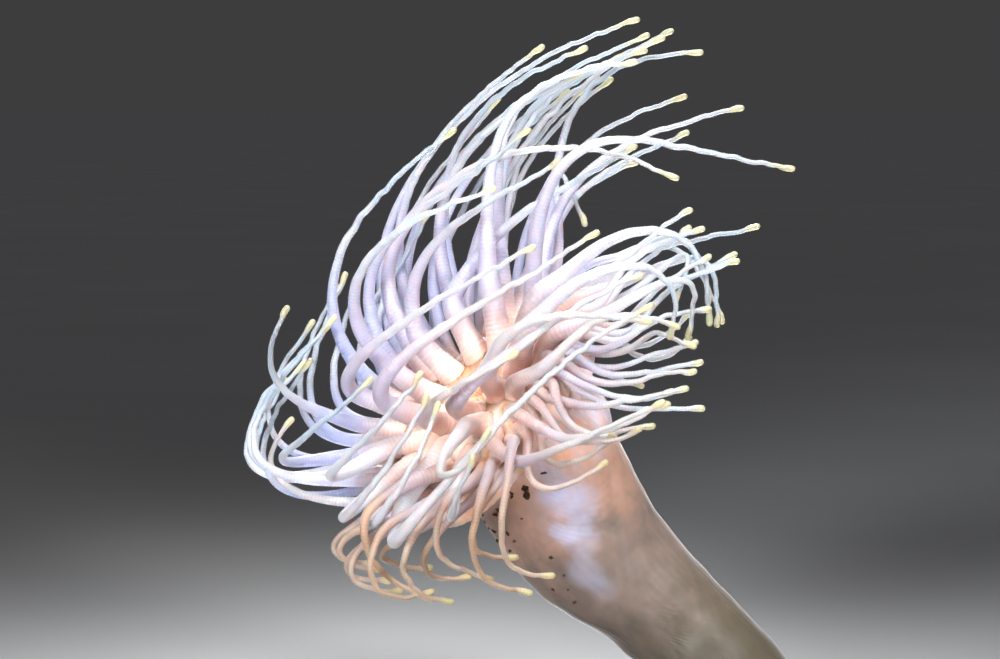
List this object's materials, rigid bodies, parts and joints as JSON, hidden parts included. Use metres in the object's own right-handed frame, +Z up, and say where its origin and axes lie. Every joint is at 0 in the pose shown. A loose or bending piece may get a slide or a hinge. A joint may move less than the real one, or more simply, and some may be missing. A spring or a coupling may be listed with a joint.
{
  "type": "sea anemone",
  "caption": "Pale sea anemone on a display base: leaning column, tilted crown and long tapering tentacles streaming to one side.",
  "frame": {"origin": "middle of the underside of the display base, on the floor", "axes": "+Z up; the front looks along -Y; the tentacles stream towards +X"},
  "size_m": [0.256, 0.2065, 0.2941],
  "materials": {
    "stand": "satin dark grey",
    "flesh": "soft, moist, translucent, pinkish white"
  },
  "bodies": {
    "root": {"stand_base": "stand", "pedal_disc": "flesh", "column_lower": "flesh", "column_middle": "flesh", "column_upper": "flesh", "collar": "flesh", "mouth": "flesh", "oral_disc_sector_1": "flesh", "oral_disc_sector_2": "flesh", "oral_disc_sector_3": "flesh", "oral_disc_sector_4": "flesh", "oral_disc_sector_5": "flesh", "oral_disc_sector_6": "flesh", "oral_disc_sector_7": "flesh", "oral_disc_sector_8": "flesh", "oral_disc_sector_9": "flesh", "oral_disc_sector_10": "flesh", "arc_inner_1_tip_length": "flesh", "arc_inner_2_tip_length": "flesh", "arc_inner_3_tip_length": "flesh", "arc_long_1_tip_length": "flesh", "arc_outer_1_tip_length": "flesh", "arc_outer_2_tip_length": "flesh", "bundle_hook_2_tip_length": "flesh", "bundle_hook_4_tip_length": "flesh", "crest_1_tip_length": "flesh", "crest_2_tip_length": "flesh", "crest_3_tip_length": "flesh", "crest_4_tip_length": "flesh", "crest_back_1_tip_length": "flesh", "crest_back_2_tip_length": "flesh", "crest_back_3_tip_length": "flesh", "crest_inner_1_tip_length": "flesh", "crest_inner_2_tip_length": "flesh", "crest_inner_3_tip_length": "flesh", "crest_right_1_tip_length": "flesh", "crest_right_2_tip_length": "flesh", "crest_right_3_tip_length": "flesh", "front_fold_1_tip_length": "flesh", "front_fold_2_tip_length": "flesh", "front_fold_3_tip_length": "flesh", "front_loop_1_tip_length": "flesh", "left_cross_1_tip_length": "flesh", "left_cross_2_tip_length": "flesh", "left_curl_2_tip_length": "flesh", "left_curl_3_tip_length": "flesh", "left_curl_4_tip_length": "flesh", "left_inner_2_tip_length": "flesh", "mid_cross_2_tip_length": "flesh", "right_back_3_tip_length": "flesh", "right_long_1_tip_length": "flesh", "rim_crest_1_tip_length": "flesh", "rim_crest_2_tip_length": "flesh", "rim_crest_3_tip_length": "flesh", "rim_crest_4_tip_length": "flesh", "rim_crest_5_tip_length": "flesh", "rim_far_1_tip_length": "flesh", "rim_left_1_tip_length": "flesh"}
  },
  "joints": []
}
